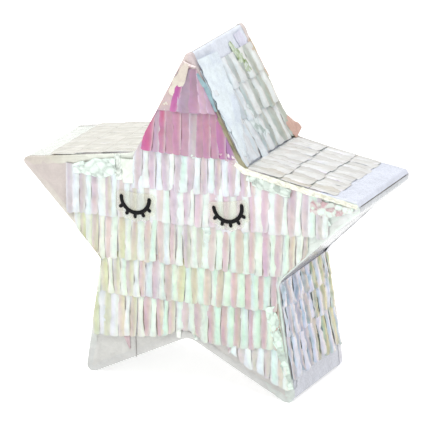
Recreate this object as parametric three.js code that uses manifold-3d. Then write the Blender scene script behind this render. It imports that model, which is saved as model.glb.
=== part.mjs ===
// A star-shaped party pinata: a box of card boards, wrapped and fringed with pearly plastic film,
// with two closed eyes on the front and a filling door in the back.
// Millimetres, +Z up. The front faces -Y, and left and right are the viewer's.
// The origin is under the star's centre, on the surface that its two feet stand on.
import * as THREE from "three";
import { mergeVertices } from "three/addons/utils/BufferGeometryUtils.js";
import Module from "manifold-3d";

const wasm = await Module();
wasm.setup();

// ---- Driving dimensions ----
const TIP_RADIUS = 219; // star centre to the sharp tip of the boards
const NOTCH_RADIUS = 112.5; // star centre to the notch between two points
const BOARD_DEPTH = 136; // outer face of the front board to outer face of the back board
const BOARD = 3; // thickness of the card
const GAP = 0.3; // clearance between pieces that touch
const FILM = 0.5; // thickness of the film wraps
const NOSE_RADIUS = 4; // rounding of the wrapped top and arms
const FOOT_RADIUS = 7; // rounding of the wrapped feet
// Corners of a foot's rounding, in degrees from straight down, outwards. The first two are level.
const FOOT_CORNERS = [-16, 16, 46, 72];

const GLUE_BAND = 0.7; // thickness of a fringe strip where it is glued down
const FRINGE = 2.5; // how far a row of fringe stands out
const LAP = 9; // how far a row hangs over the next one
const FRINGE_INSET = 1.5; // edge of the star to the ends of the rows
const SIDE_FRINGE_LOW = 1; // a wall's fringe, just past the hem above
const SIDE_FRINGE_HIGH = 2.6; // and at its own hem

const DOOR_WIDTH = 90;
const DOOR_HEIGHT = 78;
const DOOR_TOP = 50; // the crease, above the star's centre
const DOOR_SLOT = 0.5; // cut round the door
const DOOR_CREASE = 0.25; // board above the crease to the crease
const DOOR_BAND = 1.2; // crease to the top of the door's fringe
const DOOR_OVERHANG = 3.5; // crease to the hem of the row above it

const EYE_ARC_RADIUS = 17.3; // middle of the lid's stroke
const EYE_STROKE = 4.6;
const LASH_STROKE = 4.2;
const LASH_REACH = 24; // arc centre to the lash's tip
const LASH_ANGLES = [-147, -119, -91, -63, -36];
const EYE_FILM_MARGIN = 5; // clear film round the strokes
const EYE_FILM = 0.3;
const EYE_INK = 0.6;
const ARC_STEPS = 16;
const LASH_STEPS = 4;
const EYES = {
  left: { x: -64, z: 42, turn: 0 },
  right: { x: 50, z: 47.5, turn: 11 },
};

// Axis of each point of the star, in degrees from +X towards +Z.
const POINTS = { top: 90, left_arm: 162, left_leg: 234, right_leg: 306, right_arm: 18 };
// Star centre to where each point's film wrap starts, along the point's axis.
const WRAP_START = { top: 165, left_arm: 94, left_leg: 94, right_leg: 94, right_arm: 94 };
const WRAP_HALF_WIDTH = 75; // wider than a point where its wrap starts, and clear of the others

// Hems of the front rows above the star's centre: height at x = 0, and slope in degrees.
// The third row stops short of the arms.
const FRONT_TOP = { z: 190, slope: 5 };
const FRONT_HEMS = [
  { z: 150, slope: 5 },
  { z: 97, slope: 4.5 },
  { z: 56, slope: 4, from: -80, to: 84 },
  { z: 20, slope: 3 },
  { z: -29, slope: 3 },
  { z: -71, slope: 3 },
];
const LEFT_LEG_HEM = { z: -114, slope: 5 };
const RIGHT_LEG_HEM = { z: -110, slope: -3 };
const RIGHT_FOOT_HEM = { z: -109, slope: -20 };
const RIGHT_FOOT_START = 48; // x where the eighth row begins

// Hems of the back rows, all level. Two rows stop beside the door, and the last one at the notch.
const BACK_TOP = 190;
const BACK_ROWS = [
  { hem: 146 },
  { hem: 102 },
  { hem: DOOR_TOP + DOOR_OVERHANG },
  { hem: 10, stopsAt: "door" },
  { hem: -38, stopsAt: "door" },
  { hem: -74 },
  { hem: -118, stopsAt: "notch" },
];
const DOOR_HEMS = [10, -36];

// Walls: the point that each belongs to, and the side of its axis that it is on, +1 anticlockwise.
const WALLS = {
  top_right: ["top", -1],
  right_arm_upper: ["right_arm", 1],
  right_arm_lower: ["right_arm", -1],
  right_leg_outer: ["right_leg", 1],
  right_leg_inner: ["right_leg", -1],
  left_leg_inner: ["left_leg", 1],
  left_leg_outer: ["left_leg", -1],
  left_arm_lower: ["left_arm", 1],
  left_arm_upper: ["left_arm", -1],
  top_left: ["top", 1],
};
// Fringe on the walls: hems measured along the wall from where its first row starts.
// It hangs from the tip down on the top point, and from the notch outwards on arms and legs.
const TOP_WALL_FRINGE = { fromTip: true, start: 25, hems: [60, 99, 136] };
const ARM_WALL_FRINGE = { fromTip: false, start: 3, hems: [45, 79, 111] };
const LEG_WALL_FRINGE = { fromTip: false, start: 3, hems: [31, 66, 113] };
const WALL_FRINGE = {
  top_right: TOP_WALL_FRINGE,
  top_left: TOP_WALL_FRINGE,
  right_arm_upper: ARM_WALL_FRINGE,
  left_arm_upper: ARM_WALL_FRINGE,
  right_leg_outer: LEG_WALL_FRINGE,
  left_leg_outer: LEG_WALL_FRINGE,
};

// ---- Worked-out dimensions ----
const rad = THREE.MathUtils.degToRad;
const unit = (degrees) => new THREE.Vector2(Math.cos(rad(degrees)), Math.sin(rad(degrees)));
const HALF_DEPTH = BOARD_DEPTH / 2;
const FILM_FACE = GAP + FILM; // outer face of a wrap, from the board
const FRINGE_BACK = FILM_FACE + GAP; // back of a fringe strip, from the board
const FRINGE_FACE = FRINGE_BACK + FRINGE;
const LIP_BACK = FRINGE_BACK + GLUE_BAND + GAP; // back of a hem, clear of the next row's band
const FAR = 300; // beyond the star
const SAME_POINT = 1e-4; // corners nearer than this are one

const edge = unit(36).multiplyScalar(NOTCH_RADIUS).sub(new THREE.Vector2(TIP_RADIUS, 0));
const TIP_HALF_ANGLE = Math.PI - edge.angle();
const NOTCH_HALF_ANGLE = TIP_HALF_ANGLE + rad(36); // between an edge and the notch's own axis

// ---- Outlines, as points in the plane of the star, x and z from its centre ----

// Distances from the centre to the sharp tips and notches of the star grown by offset.
const tipRadius = (offset) => TIP_RADIUS + offset / Math.sin(TIP_HALF_ANGLE);
const notchRadius = (offset) => NOTCH_RADIUS + offset / Math.sin(NOTCH_HALF_ANGLE);

// Directions of the corners round a point's nose.
function noseAngles(point) {
  const axis = POINTS[point];
  const swing = 90 - THREE.MathUtils.radToDeg(TIP_HALF_ANGLE);
  const down = 270;
  if (point === "right_leg") {
    return [axis - swing, ...FOOT_CORNERS.map((turn) => down + turn), axis + swing];
  }
  if (point === "left_leg") {
    const mirrored = FOOT_CORNERS.map((turn) => down - turn).reverse();
    return [axis - swing, ...mirrored, axis + swing];
  }
  return [-1, -0.5, 0, 0.5, 1].map((part) => axis + part * swing);
}

// The whole star, grown by offset, with its tips rounded.
function starOutline(offset) {
  const points = [];
  for (const [point, axis] of Object.entries(POINTS)) {
    const wrapped = point.endsWith("leg") ? FOOT_RADIUS : NOSE_RADIUS;
    const radius = wrapped - FILM_FACE + offset;
    const centre = unit(axis).multiplyScalar(tipRadius(offset) - radius / Math.sin(TIP_HALF_ANGLE));
    for (const angle of noseAngles(point)) {
      points.push(unit(angle).multiplyScalar(radius).add(centre));
    }
    points.push(unit(axis + 36).multiplyScalar(notchRadius(offset)));
  }
  return points;
}

// One wall seen end on, between two offsets, mitred at the tip and the notch.
function wallOutline(point, side, inner, outer) {
  const axis = POINTS[point];
  const tip = unit(axis);
  const notch = unit(axis + side * 36);
  const clear = GAP / 2;
  const tipShift = unit(axis + side * 90).multiplyScalar(clear);
  const notchShift = unit(axis + side * (36 - 90)).multiplyScalar(clear);
  const at = (direction, radius, shift) => direction.clone().multiplyScalar(radius).add(shift);
  return [
    at(tip, tipRadius(outer), tipShift),
    at(notch, notchRadius(outer), notchShift),
    at(notch, notchRadius(inner), notchShift),
    at(tip, tipRadius(inner), tipShift),
  ];
}

// ---- Solids ----

function solidOf(geometry) {
  const bare = geometry.clone();
  bare.deleteAttribute("normal");
  bare.deleteAttribute("uv");
  const merged = mergeVertices(bare, SAME_POINT);
  return new wasm.Manifold(
    new wasm.Mesh({
      numProp: 3,
      vertProperties: new Float32Array(merged.getAttribute("position").array),
      triVerts: new Uint32Array(merged.getIndex().array),
    }),
  );
}

// An outline in the plane of the star, as a solid from one depth to another.
function prism(outline, nearY, farY) {
  const shape = new THREE.Shape(outline);
  const geometry = new THREE.ExtrudeGeometry(shape, { depth: farY - nearY, bevelEnabled: false });
  geometry.rotateX(Math.PI / 2);
  geometry.translate(0, farY, 0);
  return solidOf(geometry);
}

// A layer on the front (side -1) or the back (side 1), between two heights above the board.
function layer(outline, side, low, high) {
  const a = side * (HALF_DEPTH + low);
  const b = side * (HALF_DEPTH + high);
  return prism(outline, Math.min(a, b), Math.max(a, b));
}

function slab(x0, x1, z0, z1) {
  return [
    new THREE.Vector2(x0, z0),
    new THREE.Vector2(x1, z0),
    new THREE.Vector2(x1, z1),
    new THREE.Vector2(x0, z1),
  ];
}

function unionOf(solids) {
  return solids.reduce((whole, solid) => whole.add(solid));
}

// ---- The scene ----

const lowest = starOutline(FILM_FACE).reduce((low, p) => Math.min(low, p.y), 0);
const star = new THREE.Group();
star.position.z = -lowest;
const pinata = new THREE.Group();
pinata.add(star);

const material = (color, roughness, metalness = 0) =>
  new THREE.MeshStandardMaterial({ color, roughness, metalness });
const CARD = material(0xcbb79a, 0.9);
const WRAP = material(0xe6e4ea, 0.25);
const PEARL = material(0xf0ecf2, 0.2, 0.1);
const SIDE_PEARL = material(0xe4e6f2, 0.2, 0.1);
const CLEAR = material(0xf4f4e8, 0.15);
const BLACK = material(0x0c0c0e, 0.35);

function add(name, solid, look, parent = star) {
  const made = solid.getMesh();
  const geometry = new THREE.BufferGeometry();
  geometry.setAttribute("position", new THREE.BufferAttribute(made.vertProperties, 3));
  geometry.setIndex(new THREE.BufferAttribute(made.triVerts, 1));
  geometry.computeVertexNormals();
  const mesh = new THREE.Mesh(geometry, look);
  mesh.name = name;
  parent.add(mesh);
}

// ---- Boards ----

function addPanels() {
  add("front_panel", prism(starOutline(0), -HALF_DEPTH, BOARD - HALF_DEPTH), CARD);
  const half = DOOR_WIDTH / 2 + DOOR_SLOT;
  const bottom = DOOR_TOP - DOOR_HEIGHT - DOOR_SLOT;
  const hole = prism(slab(-half, half, bottom, DOOR_TOP + DOOR_CREASE), 0, HALF_DEPTH + BOARD);
  const back = prism(starOutline(0), HALF_DEPTH - BOARD, HALF_DEPTH);
  add("back_panel", back.subtract(hole), CARD);
}

function addWalls() {
  const half = HALF_DEPTH - BOARD - GAP;
  const rounded = prism(starOutline(0), -half, half);
  for (const [name, [point, side]] of Object.entries(WALLS)) {
    const plate = prism(wallOutline(point, side, -BOARD, 0), -half, half);
    add(`wall_${name}`, plate.intersect(rounded), CARD);
  }
}

// ---- Film round the points ----

function addWraps() {
  const outside = prism(starOutline(FILM_FACE), -HALF_DEPTH - FILM_FACE, HALF_DEPTH + FILM_FACE);
  const inside = prism(starOutline(GAP), -HALF_DEPTH - GAP, HALF_DEPTH + GAP);
  const skin = outside.subtract(inside);
  for (const [point, start] of Object.entries(WRAP_START)) {
    const axis = rad(POINTS[point]);
    const reach = slab(start, FAR, -WRAP_HALF_WIDTH, WRAP_HALF_WIDTH);
    for (const corner of reach) corner.rotateAround(new THREE.Vector2(), axis);
    add(`wrap_${point}`, skin.intersect(prism(reach, -FAR, FAR)), WRAP);
  }
}

// ---- Fringe on the front and the back ----

const level = (z) => ({ z, slope: 0 });
const raised = (line, by) => ({ z: line.z + by, slope: line.slope });

// The part of the plane between two sloping lines.
function band(top, hem, x0, x1) {
  const height = (line, x) => line.z + x * Math.tan(rad(line.slope));
  return [
    new THREE.Vector2(x0, height(hem, x0)),
    new THREE.Vector2(x1, height(hem, x1)),
    new THREE.Vector2(x1, height(top, x1)),
    new THREE.Vector2(x0, height(top, x0)),
  ];
}

// One strip: a glued band under the row above, the row itself, and its hem over the next band.
function fringeRow(side, top, hem, x0 = -FAR, x1 = FAR) {
  const bodyTop = raised(top, -LAP - GAP);
  const bodyEnd = raised(hem, LAP + GAP);
  const strip = unionOf([
    layer(band(top, bodyEnd, x0, x1), side, FRINGE_BACK, FRINGE_BACK + GLUE_BAND),
    layer(band(bodyTop, bodyEnd, x0, x1), side, FRINGE_BACK, FRINGE_FACE),
    layer(band(bodyTop, hem, x0, x1), side, LIP_BACK, FRINGE_FACE),
  ]);
  return strip.intersect(layer(starOutline(-FRINGE_INSET), side, 0, FAR));
}

function addFrontFringe() {
  let top = FRONT_TOP;
  FRONT_HEMS.forEach((hem, i) => {
    add(`fringe_front_row_${i + 1}`, fringeRow(-1, top, hem, hem.from, hem.to), PEARL);
    top = raised(hem, LAP);
  });
  const onLeft = fringeRow(-1, top, LEFT_LEG_HEM, -FAR, -GAP);
  const onRight = fringeRow(-1, top, RIGHT_LEG_HEM, GAP, FAR);
  const foot = fringeRow(-1, raised(RIGHT_LEG_HEM, LAP), RIGHT_FOOT_HEM, RIGHT_FOOT_START, FAR);
  add("fringe_front_row_7_left", onLeft, PEARL);
  add("fringe_front_row_7_right", onRight, PEARL);
  add("fringe_front_row_8_right", foot, PEARL);
}

function addBackFringe() {
  const halfGap = { door: DOOR_WIDTH / 2 + DOOR_SLOT + GAP, notch: GAP };
  const underDoor = DOOR_TOP - DOOR_HEIGHT - 2 * DOOR_SLOT;
  let top = BACK_TOP;
  BACK_ROWS.forEach(({ hem, stopsAt }, i) => {
    const name = `fringe_back_row_${i + 1}`;
    if (stopsAt) {
      const inner = halfGap[stopsAt];
      add(`${name}_left`, fringeRow(1, level(top), level(hem), -FAR, -inner), PEARL);
      add(`${name}_right`, fringeRow(1, level(top), level(hem), inner, FAR), PEARL);
    } else {
      add(name, fringeRow(1, level(top), level(hem)), PEARL);
    }
    const meetsDoorSlot = hem < underDoor && hem + LAP > underDoor;
    top = meetsDoorSlot ? underDoor : hem + LAP;
  });
}

// ---- Fringe on the walls: rows joined into one stepped strip ----

function wallFringeOutline(point, side, fringe) {
  const axis = POINTS[point];
  const tip = unit(axis).multiplyScalar(TIP_RADIUS);
  const notch = unit(axis + side * 36).multiplyScalar(NOTCH_RADIUS);
  const start = fringe.fromTip ? tip : notch;
  const along = (fringe.fromTip ? notch : tip).clone().sub(start).normalize();
  const out = unit(axis + side * 90 - side * THREE.MathUtils.radToDeg(TIP_HALF_ANGLE));
  const at = (distance, height) =>
    start
      .clone()
      .addScaledVector(along, distance)
      .addScaledVector(out, FRINGE_BACK + height);
  const outline = [at(fringe.start, 0), at(fringe.start, SIDE_FRINGE_LOW)];
  fringe.hems.forEach((hem, i) => {
    const last = i === fringe.hems.length - 1;
    outline.push(at(hem, SIDE_FRINGE_HIGH), at(hem, last ? 0 : SIDE_FRINGE_LOW));
  });
  return THREE.ShapeUtils.isClockWise(outline) ? outline.reverse() : outline;
}

function addWallFringe() {
  const half = HALF_DEPTH - GAP;
  for (const [name, fringe] of Object.entries(WALL_FRINGE)) {
    const outline = wallFringeOutline(...WALLS[name], fringe);
    add(`fringe_${name}`, prism(outline, -half, half), SIDE_PEARL);
  }
}

// ---- Filling door, hinged on its top edge at the outer face of the back board ----

function addDoor() {
  const hinge = new THREE.Group();
  hinge.position.set(0, HALF_DEPTH, DOOR_TOP);
  star.add(hinge);
  const half = DOOR_WIDTH / 2;
  const toHinge = [0, -HALF_DEPTH, -DOOR_TOP];
  const board = slab(-half, half, DOOR_TOP - DOOR_HEIGHT, DOOR_TOP - DOOR_CREASE);
  const plate = prism(board, HALF_DEPTH - BOARD, HALF_DEPTH);
  add("fill_door", plate.translate(toHinge), CARD, hinge);
  const [upperHem, lowerHem] = DOOR_HEMS.map(level);
  const upper = fringeRow(1, level(DOOR_TOP - DOOR_BAND), upperHem, -half, half);
  const lower = fringeRow(1, raised(upperHem, LAP), lowerHem, -half, half);
  add("fringe_door_upper", upper.translate(toHinge), PEARL, hinge);
  add("fringe_door_lower", lower.translate(toHinge), PEARL, hinge);
}

// ---- Eyes: a black stroke with lashes, on clear film ----

// A stroke with round ends along an arc, from one angle to another.
function arcStroke(radius, width, from, to) {
  const shape = new THREE.Shape();
  shape.absarc(0, 0, radius + width / 2, rad(from), rad(to), false);
  const end = unit(to).multiplyScalar(radius);
  shape.absarc(end.x, end.y, width / 2, rad(to), rad(to + 180), false);
  shape.absarc(0, 0, radius - width / 2, rad(to), rad(from), true);
  const start = unit(from).multiplyScalar(radius);
  shape.absarc(start.x, start.y, width / 2, rad(from + 180), rad(from + 360), false);
  return shape.getPoints(ARC_STEPS);
}

function lashStroke(angle, grow) {
  const radius = LASH_STROKE / 2 + grow;
  const shape = new THREE.Shape();
  shape.absarc(LASH_REACH - LASH_STROKE / 2, 0, radius, -Math.PI / 2, Math.PI / 2, false);
  shape.lineTo(EYE_ARC_RADIUS, radius);
  shape.lineTo(EYE_ARC_RADIUS, -radius);
  const points = shape.getPoints(LASH_STEPS);
  return points.map((p) => p.rotateAround(new THREE.Vector2(), rad(angle)));
}

function eyeLayer(outline, low, high) {
  return layer(dedupe(outline), -1, FRINGE_FACE + low, FRINGE_FACE + high);
}

// Drops points that repeat where two arcs meet.
function dedupe(points) {
  const near = 0.01;
  return points.filter((p, i) => p.distanceTo(points.at(i - 1)) > near);
}

function addEyes() {
  const filmBack = GAP;
  const inkBack = GAP + EYE_FILM + GAP;
  for (const [name, { x, z, turn }] of Object.entries(EYES)) {
    const ink = unionOf([
      eyeLayer(arcStroke(EYE_ARC_RADIUS, EYE_STROKE, 180, 360), inkBack, inkBack + EYE_INK),
      ...LASH_ANGLES.map((angle) => eyeLayer(lashStroke(angle, 0), inkBack, inkBack + EYE_INK)),
    ]);
    const reach = EYE_ARC_RADIUS + EYE_STROKE / 2 + EYE_FILM_MARGIN;
    const lid = new THREE.Shape();
    lid.absarc(0, 0, reach, Math.PI, 2 * Math.PI);
    lid.lineTo(reach, EYE_FILM_MARGIN);
    lid.lineTo(-reach, EYE_FILM_MARGIN);
    const film = unionOf([
      eyeLayer(lid.getPoints(ARC_STEPS), filmBack, filmBack + EYE_FILM),
      ...LASH_ANGLES.map((angle) =>
        eyeLayer(lashStroke(angle, EYE_FILM_MARGIN), filmBack, filmBack + EYE_FILM),
      ),
    ]);
    const eye = new THREE.Group();
    eye.position.set(x, 0, z);
    eye.rotation.y = -rad(turn);
    star.add(eye);
    add(`eye_film_${name}`, film, CLEAR, eye);
    add(`eye_lashes_${name}`, ink, BLACK, eye);
  }
}

addPanels();
addWalls();
addWraps();
addFrontFringe();
addBackFringe();
addWallFringe();
addDoor();
addEyes();

export default pinata;
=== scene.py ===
"""A star pinata with sleepy eyes: card boards under crinkled wraps and rows of pearly film fringe.

Lengths are in millimetres, measured from the star's centre, until mesh() turns them into metres.
x is to the viewer's right, z is up, and the front faces -y.
"""

import math
import random

import bpy
import numpy as np
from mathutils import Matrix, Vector, noise


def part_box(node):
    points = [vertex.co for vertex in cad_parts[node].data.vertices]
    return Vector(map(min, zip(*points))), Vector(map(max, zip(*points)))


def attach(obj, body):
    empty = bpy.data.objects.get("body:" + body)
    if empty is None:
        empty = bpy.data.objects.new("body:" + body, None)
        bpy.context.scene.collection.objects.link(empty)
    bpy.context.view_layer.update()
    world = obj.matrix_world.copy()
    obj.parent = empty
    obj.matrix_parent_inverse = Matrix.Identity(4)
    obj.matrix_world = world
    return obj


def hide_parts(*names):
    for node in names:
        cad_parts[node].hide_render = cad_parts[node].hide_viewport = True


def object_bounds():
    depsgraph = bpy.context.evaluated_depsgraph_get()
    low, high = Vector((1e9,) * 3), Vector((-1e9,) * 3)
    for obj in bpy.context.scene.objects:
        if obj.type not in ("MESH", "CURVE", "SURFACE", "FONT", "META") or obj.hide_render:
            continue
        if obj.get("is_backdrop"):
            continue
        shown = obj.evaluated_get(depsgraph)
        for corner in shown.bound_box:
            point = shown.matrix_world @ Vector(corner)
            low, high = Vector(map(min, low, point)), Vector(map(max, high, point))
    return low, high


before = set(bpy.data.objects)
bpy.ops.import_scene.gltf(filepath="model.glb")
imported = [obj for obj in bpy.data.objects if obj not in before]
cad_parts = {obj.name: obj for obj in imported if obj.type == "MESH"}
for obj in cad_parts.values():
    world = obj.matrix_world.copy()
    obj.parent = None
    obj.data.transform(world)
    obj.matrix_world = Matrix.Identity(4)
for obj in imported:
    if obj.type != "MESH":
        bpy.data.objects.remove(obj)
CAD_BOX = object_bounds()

MM = 0.001

# ---- The star, as the CAD has it ----
TIP_RADIUS = 219.0
NOTCH_RADIUS = 112.5
HALF_DEPTH = 68.0  # to the outer face of a board
BOARD_NOSE = 3.2  # radius of the boards' rounded tips
WRAP_NOSE = 4.0  # radius of a wrap's rounded end on the arms and the top
FOOT_NOSE = 7.0  # and on the legs
WRAP_LIFT = 0.8  # how far the wraps stand off the boards
BETWEEN_POINTS = 72  # degrees from one point's axis to the next
TO_NOTCH = 36  # degrees from a point's axis to the notch beside it
# The directions of the points' axes, in degrees.
POINT_AXES = {"top": 90, "left_arm": 162, "left_leg": 234, "right_leg": 306, "right_arm": 18}

EDGE_DX = NOTCH_RADIUS * math.cos(math.radians(TO_NOTCH)) - TIP_RADIUS
EDGE_DZ = NOTCH_RADIUS * math.sin(math.radians(TO_NOTCH))
EDGE_LENGTH = math.hypot(EDGE_DX, EDGE_DZ)
TIP_HALF_ANGLE = math.atan2(EDGE_DZ, -EDGE_DX)
NOTCH_HALF_ANGLE = TIP_HALF_ANGLE + math.radians(TO_NOTCH)

# The front board's top is the nose of the top point, which gives the height of the star's centre.
BOARD_TOP = TIP_RADIUS - BOARD_NOSE * (1 / math.sin(TIP_HALF_ANGLE) - 1)
CENTRE_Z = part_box("front_panel")[1][2] / MM - BOARD_TOP


def unit(degrees):
    """The direction at an angle from the x axis, as (x, z)."""
    return np.array([math.cos(math.radians(degrees)), math.sin(math.radians(degrees))])


def colour(code):
    """A hex colour as linear numbers."""
    parts = [int(code[i : i + 2], 16) / 255 for i in (1, 3, 5)]
    return np.array([c / 12.92 if c <= 0.04045 else ((c + 0.055) / 1.055) ** 2.4 for c in parts])


def mix(a, b, t):
    return a + (b - a) * t


def ease(t):
    """Goes smoothly from 0 to 1 as t does."""
    t = min(1.0, max(0.0, t))
    return t * t * (3 - 2 * t)


def noise_place(point, size, seed):
    """Where to read noise whose bumps are size across. Each seed reads it somewhere else."""
    return Vector([c / size for c in point]) + Vector((seed, seed * 1.7, seed * 0.3))


def rough(point, size, seed=0.0):
    """Smooth noise from about -1 to 1, whose bumps are size across."""
    return noise.noise(noise_place(point, size, seed))


def crease(point, size, seed=0.0):
    """Sharp folds between flat facets, from about -1 to 1."""
    return 1 - 3 * abs(rough(point, size, seed))


def facet(point, size, seed=0.0):
    """Crumpled film: the height of a flat facet from -1 to 1, a number from 0 to 1 that is the
    facet's own, and how near its edge this is, from 0 inside to 1 on the crease."""
    where = noise_place(point, size, seed)
    distances, centres = noise.voronoi(where)
    own = noise.cell(centres[0] * 37.7)
    tilt = Vector((noise.cell(centres[0] * 11.3) - 0.5, 0, noise.cell(centres[0] * 23.9) - 0.5))
    height = 1.6 * tilt.dot(where - centres[0]) + 0.8 * (own - 0.5)
    return height, own, ease(1 - (distances[1] - distances[0]) / 0.22)


# ---- Meshes ----


class Film:
    """Sheets of film that make up one piece, each a grid of points with a colour at each point."""

    def __init__(self):
        self.points, self.tints, self.faces = [], [], []

    def grid(self, rows, closed=False):
        """Adds rows of (point, tint). Closed joins the last point of each row to its first."""
        columns = len(rows[0])
        start = len(self.points)
        for row in rows:
            for point, tint in row:
                self.points.append(point)
                self.tints.append(tint)
        across = columns if closed else columns - 1
        for i in range(len(rows) - 1):
            for j in range(across):
                a, b = start + i * columns + j, start + i * columns + (j + 1) % columns
                self.faces.append((a, b, b + columns, a + columns))

    def mesh(self, name, material, thickness=0.25):
        """Makes the object, with the film given a thickness where it isn't 0."""
        data = bpy.data.meshes.new(name)
        places = [(p[0] * MM, p[1] * MM, (p[2] + CENTRE_Z) * MM) for p in self.points]
        data.from_pydata(places, [], self.faces)
        layer = data.attributes.new("tint", "FLOAT_COLOR", "POINT")
        flat = [c for t in self.tints for c in (*np.clip(t, 0, 1), 1.0)]
        layer.data.foreach_set("color", flat)
        data.materials.append(material)
        data.shade_smooth()
        data.update()
        piece = bpy.data.objects.new(name, data)
        bpy.context.scene.collection.objects.link(piece)
        if thickness:
            shell = piece.modifiers.new("thickness", "SOLIDIFY")
            shell.thickness = thickness * MM
            shell.offset = 0
            piece.modifiers.new("even_shading", "WEIGHTED_NORMAL").weight = 90
        return piece


def place(piece, body, slot, *nodes):
    """Lets a piece ride on a body instead of the CAD nodes named. The slot is not used."""
    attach(piece, body)
    if nodes:
        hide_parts(*nodes)


def place_sheet(film, name):
    """Film that stands for no CAD node of its own."""
    place(film.mesh(name, WRAP_FILM, 0.2), "shell", "wrap_film")


# ---- Materials ----


def new_material(name):
    material = bpy.data.materials.new(name)
    material.use_nodes = True
    tree = material.node_tree
    shader = tree.nodes["Principled BSDF"]
    return material, tree, shader


def link(out, into):
    into.id_data.links.new(out, into)


def set_inputs(node, values):
    for name, value in values.items():
        node.inputs[name].default_value = value


def texture_node(tree, kind, values):
    """A texture in the object's own coordinates, as its values."""
    node = tree.nodes.new(kind)
    set_inputs(node, values)
    coordinates = tree.nodes.new("ShaderNodeTexCoord")
    link(coordinates.outputs["Object"], node.inputs["Vector"])
    return node.outputs["Fac"]


def noise_node(tree, scale, detail=2.0, distortion=0.0):
    values = {"Scale": scale, "Detail": detail, "Distortion": distortion}
    return texture_node(tree, "ShaderNodeTexNoise", values)


def ramp_node(tree, source, low, high, start=0.35, end=0.65):
    """Maps a value to a range of numbers."""
    node = tree.nodes.new("ShaderNodeMapRange")
    set_inputs(node, {"From Min": start, "From Max": end, "To Min": low, "To Max": high})
    link(source, node.inputs["Value"])
    return node.outputs["Result"]


def bump_node(tree, height, strength, distance_mm, before=None):
    node = tree.nodes.new("ShaderNodeBump")
    set_inputs(node, {"Strength": strength, "Distance": distance_mm * MM})
    link(height, node.inputs["Height"])
    if before is not None:
        link(before, node.inputs["Normal"])
    return node.outputs["Normal"]


def two_tone(tree, source, dark, light, into):
    """A colour that goes from dark to light with a value."""
    node = tree.nodes.new("ShaderNodeValToRGB")
    for element, tone in zip(node.color_ramp.elements, (dark, light)):
        element.color = (*tone, 1)
    link(source, node.inputs["Fac"])
    link(node.outputs["Color"], into)


def multiply_colour(tree, a, b):
    node = tree.nodes.new("ShaderNodeMix")
    node.data_type = "RGBA"
    node.blend_type = "MULTIPLY"
    node.inputs["Factor"].default_value = 1.0
    link(a, node.inputs["A"])
    link(b, node.inputs["B"])
    return node.outputs["Result"]


def pearl_film(name, crinkle, gloss, shine, coat):
    """Iridescent film: the piece's own tints with fine wrinkles and a thin-film gloss."""
    material, tree, shader = new_material(name)
    tint = tree.nodes.new("ShaderNodeAttribute")
    tint.attribute_name = "tint"
    shade = ramp_node(tree, noise_node(tree, 90, 3, 0.6), 0.93, 1.04)
    link(multiply_colour(tree, tint.outputs["Color"], shade), shader.inputs["Base Color"])
    fine = noise_node(tree, 420, 2, 1.2)
    link(ramp_node(tree, fine, gloss, gloss + 0.1), shader.inputs["Roughness"])
    normal = bump_node(tree, noise_node(tree, 60, 2, 1.5), crinkle, 1.5)
    normal = bump_node(tree, fine, crinkle * 0.25, 0.1, normal)
    link(normal, shader.inputs["Normal"])
    set_inputs(shader, {"Specular IOR Level": shine, "Coat Weight": coat, "Coat Roughness": 0.07,
                        "Thin Film Thickness": 380, "Thin Film IOR": 1.33})
    return material


def grained(name, grain, tones, gloss, relief, values, flutes=None):
    """A material whose two tones, gloss and relief follow one grain. Flutes are under it."""
    material, tree, shader = new_material(name)
    grain = noise_node(tree, *grain)
    two_tone(tree, grain, *tones, shader.inputs["Base Color"])
    link(ramp_node(tree, grain, *gloss), shader.inputs["Roughness"])
    normal = None
    if flutes:
        normal = bump_node(tree, texture_node(tree, "ShaderNodeTexWave", flutes), 0.25, 0.3)
    link(bump_node(tree, grain, *relief, normal), shader.inputs["Normal"])
    set_inputs(shader, values)
    return material


FRINGE_FILM = pearl_film("pearl_fringe_film", 0.5, 0.13, 0.9, 0.9)
WRAP_FILM = pearl_film("pearl_wrap_film", 0.6, 0.22, 0.24, 0.3)
CARD = grained("white_lined_card", (500, 4, 0.5), (colour("#c4bba9"), colour("#e0dacd")),
               (0.75, 0.92), (0.3, 0.15), {}, {"Scale": 45, "Distortion": 0.6})
BLACK_VINYL = grained("black_vinyl", (700, 3), ((0.004, 0.004, 0.005), (0.011, 0.011, 0.013)),
                      (0.4, 0.55), (0.2, 0.08), {"Specular IOR Level": 0.12})
CLEAR_FILM = grained("clear_film", (120, 2), (colour("#e8ebda"), colour("#f4f6ea")),
                     (0.12, 0.25), (0.3, 0.4), {"Alpha": 0.24})


# ---- Outlines of the star ----


def tip_radius(offset):
    return TIP_RADIUS + offset / math.sin(TIP_HALF_ANGLE)


def notch_radius(offset):
    return NOTCH_RADIUS + offset / math.sin(NOTCH_HALF_ANGLE)


def nose(point, offset):
    """The radius of a point's rounded end, and how far from the star's centre its middle is."""
    wrapped = FOOT_NOSE if point.endswith("leg") else WRAP_NOSE
    radius = max(0.6, wrapped - WRAP_LIFT + offset)
    return radius, tip_radius(offset) - radius / math.sin(TIP_HALF_ANGLE)


def star_outline(offset, edge_steps=1, nose_steps=4, web=0.0):
    """The star grown by offset, with rounded tips, as (x, z) points anticlockwise from the top.
    Web is how far film bridges each notch, along the two edges."""
    names = list(POINT_AXES)
    swing = 90 - math.degrees(TIP_HALF_ANGLE)
    points = []
    for name, following in zip(names, names[1:] + names[:1]):
        axis = POINT_AXES[name]
        radius, back = nose(name, offset)
        for k in range(nose_steps + 1):
            angle = axis + swing * (2 * k / nose_steps - 1)
            points.append(unit(axis) * back + radius * unit(angle))
        notch = unit(axis + TO_NOTCH) * notch_radius(offset)
        radius, back = nose(following, offset)
        axis += BETWEEN_POINTS
        end = unit(axis) * back + radius * unit(axis - swing)
        points += bridged(points[-1], notch, end, edge_steps, web)
    return points


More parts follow.
